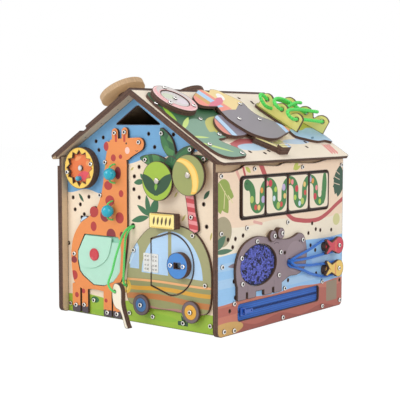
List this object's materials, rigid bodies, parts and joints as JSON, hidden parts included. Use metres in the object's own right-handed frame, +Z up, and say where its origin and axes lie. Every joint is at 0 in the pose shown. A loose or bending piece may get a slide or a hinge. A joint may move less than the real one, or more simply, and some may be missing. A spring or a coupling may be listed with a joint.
{
  "type": "busy board house",
  "caption": "House-shaped wooden busy board with turning discs, a dial, a hinged door, sliding tiles, a zipper, beads, cords and a lacing frame.",
  "frame": {"origin": "centre of the floor panel's underside, on the surface that the house stands on", "axes": "+X to the right of the front gable, -Y out of the front gable, +Z up to the ridge"},
  "size_m": [0.325, 0.3517, 0.345],
  "materials": {
    "raw_ply": "satin",
    "printed_ply": "satin",
    "orange_ply": "satin",
    "green_ply": "satin",
    "light_green_ply": "satin",
    "olive_ply": "satin",
    "van_ply": "satin",
    "pull_wood": "satin",
    "wheel_ply": "satin",
    "dial_ply": "satin",
    "bird_ply": "satin",
    "dial_orange": "satin",
    "tile_ply": "satin",
    "hippo_ply": "satin",
    "fish_ply": "satin",
    "pink_ply": "satin",
    "pearl_disc": "pearl",
    "turquoise_wood": "gloss",
    "tusk_wood": "satin",
    "mint_felt": "matte",
    "red_snap": "gloss",
    "green_cord": "matte",
    "lime_lace": "matte",
    "blue_elastic": "matte",
    "zip_tape": "matte",
    "sequins": "iridescent",
    "steel": "satin"
  },
  "bodies": {
    "house": {"floor_panel": "raw_ply", "back_panel": "raw_ply", "left_wall": "raw_ply", "right_wall": "raw_ply", "roof_left_slab": "raw_ply", "roof_right_slab": "raw_ply", "tile_track_back": "raw_ply", "left_round_plate": "raw_ply", "pivot_posts": "raw_ply", "front_panel": "printed_ply", "left_wall_cover": "printed_ply", "right_wall_cover": "printed_ply", "roof_left_cover": "printed_ply", "roof_right_cover": "printed_ply", "van_sign": "printed_ply", "lacing_frame": "printed_ply", "giraffe_plate": "orange_ply", "tail_lever": "orange_ply", "palm_plate": "green_ply", "leaf_plate": "green_ply", "lacing_base": "green_ply", "van_plate": "van_ply", "dial_ring": "dial_ply", "small_bird": "bird_ply", "hippo_plate": "hippo_ply", "toucan_plate": "hippo_ply", "wing_plate": "hippo_ply", "fish_hooks": "fish_ply", "roof_ring": "pink_ply", "threading_tusk": "tusk_wood", "felt_pouch": "mint_felt", "threading_cord": "green_cord", "bead_cords": "green_cord", "roof_lace": "lime_lace", "elastic_loops": "blue_elastic", "zipper_tapes": "zip_tape", "sequin_patch": "sequins", "hinge_frame_leaf": "steel", "panel_screws": "steel"},
    "dial": {"dial_disc": "dial_orange", "dial_peg": "turquoise_wood"},
    "small_disc": {"small_disc": "light_green_ply"},
    "large_disc": {"large_disc": "olive_ply"},
    "front_wheel": {"front_wheel": "wheel_ply"},
    "rear_wheel": {"rear_wheel": "wheel_ply"},
    "door": {"van_door": "van_ply", "door_pull": "pull_wood", "hinge_door_leaf": "steel"},
    "flap": {"pouch_flap": "mint_felt", "snap_button": "red_snap"},
    "upper_bead": {"upper_bead": "turquoise_wood"},
    "lower_bead": {"lower_bead": "turquoise_wood"},
    "tile_1": {"snake_tile_1": "tile_ply"},
    "tile_2": {"snake_tile_2": "tile_ply"},
    "tile_3": {"snake_tile_3": "tile_ply"},
    "tile_4": {"snake_tile_4": "tile_ply"},
    "slider": {"zipper_slider": "steel"},
    "pull": {"zipper_pull": "steel"},
    "roof_disc": {"roof_ring_disc": "pearl_disc"},
    "spinner": {"left_spinner": "raw_ply"}
  },
  "joints": [
    {"name": "dial_turn", "type": "hinge", "parent": "house", "child": "dial", "pos_m": [-0.1045, -0.15, 0.215], "axis": [0, -1, 0], "continuous": true},
    {"name": "small_disc_turn", "type": "hinge", "parent": "house", "child": "small_disc", "pos_m": [0.0453, -0.154, 0.202], "axis": [0, -1, 0], "continuous": true},
    {"name": "large_disc_turn", "type": "hinge", "parent": "house", "child": "large_disc", "pos_m": [0.09994, -0.154, 0.21173], "axis": [0, -1, 0], "continuous": true},
    {"name": "front_wheel_turn", "type": "hinge", "parent": "house", "child": "front_wheel", "pos_m": [0.011, -0.15, 0.0275], "axis": [0, -1, 0], "continuous": true},
    {"name": "rear_wheel_turn", "type": "hinge", "parent": "house", "child": "rear_wheel", "pos_m": [0.1005, -0.15, 0.028], "axis": [0, -1, 0], "continuous": true},
    {"name": "door_swing", "type": "hinge", "parent": "house", "child": "door", "pos_m": [0.0272, -0.15, 0.088], "axis": [0, 0, -1], "range_deg": [0, 115]},
    {"name": "flap_lift", "type": "hinge", "parent": "house", "child": "flap", "pos_m": [-0.08, -0.1473, 0.117], "axis": [-1, 0, 0], "range_deg": [0, 110]},
    {"name": "upper_bead_turn", "type": "hinge", "parent": "house", "child": "upper_bead", "pos_m": [-0.0423, -0.1573, 0.2083], "axis": [0, 0, 1], "continuous": true},
    {"name": "lower_bead_turn", "type": "hinge", "parent": "house", "child": "lower_bead", "pos_m": [-0.0468, -0.1573, 0.1558], "axis": [0, 0, 1], "continuous": true},
    {"name": "tile_1_slide", "type": "slide", "parent": "house", "child": "tile_1", "axis": [0, -1, 0], "range_m": [0, 0.006]},
    {"name": "tile_2_slide", "type": "slide", "parent": "house", "child": "tile_2", "axis": [0, -1, 0], "range_m": [0, 0.006]},
    {"name": "tile_3_slide", "type": "slide", "parent": "house", "child": "tile_3", "axis": [0, -1, 0], "range_m": [0, 0.006]},
    {"name": "tile_4_slide", "type": "slide", "parent": "house", "child": "tile_4", "axis": [0, -1, 0], "range_m": [0, 0.006]},
    {"name": "slider_travel", "type": "slide", "parent": "house", "child": "slider", "axis": [0, 1, 0], "range_m": [0, 0.173]},
    {"name": "pull_swing", "type": "hinge", "parent": "slider", "child": "pull", "pos_m": [0.1512, -0.0978, 0.0269], "axis": [0, 0, -1], "range_deg": [0, 150]},
    {"name": "roof_disc_turn", "type": "hinge", "parent": "house", "child": "roof_disc", "pos_m": [0.04207, -0.117, 0.30935], "axis": [0.521, 0, 0.8536], "continuous": true},
    {"name": "spinner_turn", "type": "hinge", "parent": "house", "child": "spinner", "pos_m": [-0.04424, -0.1275, 0.32443], "axis": [-0.521, 0, 0.8536], "continuous": true}
  ],
  "couplings": [
    {"joint": "tile_2_slide", "follows": "tile_1_slide", "ratio": 1},
    {"joint": "tile_3_slide", "follows": "tile_1_slide", "ratio": 1},
    {"joint": "tile_4_slide", "follows": "tile_1_slide", "ratio": 1}
  ]
}
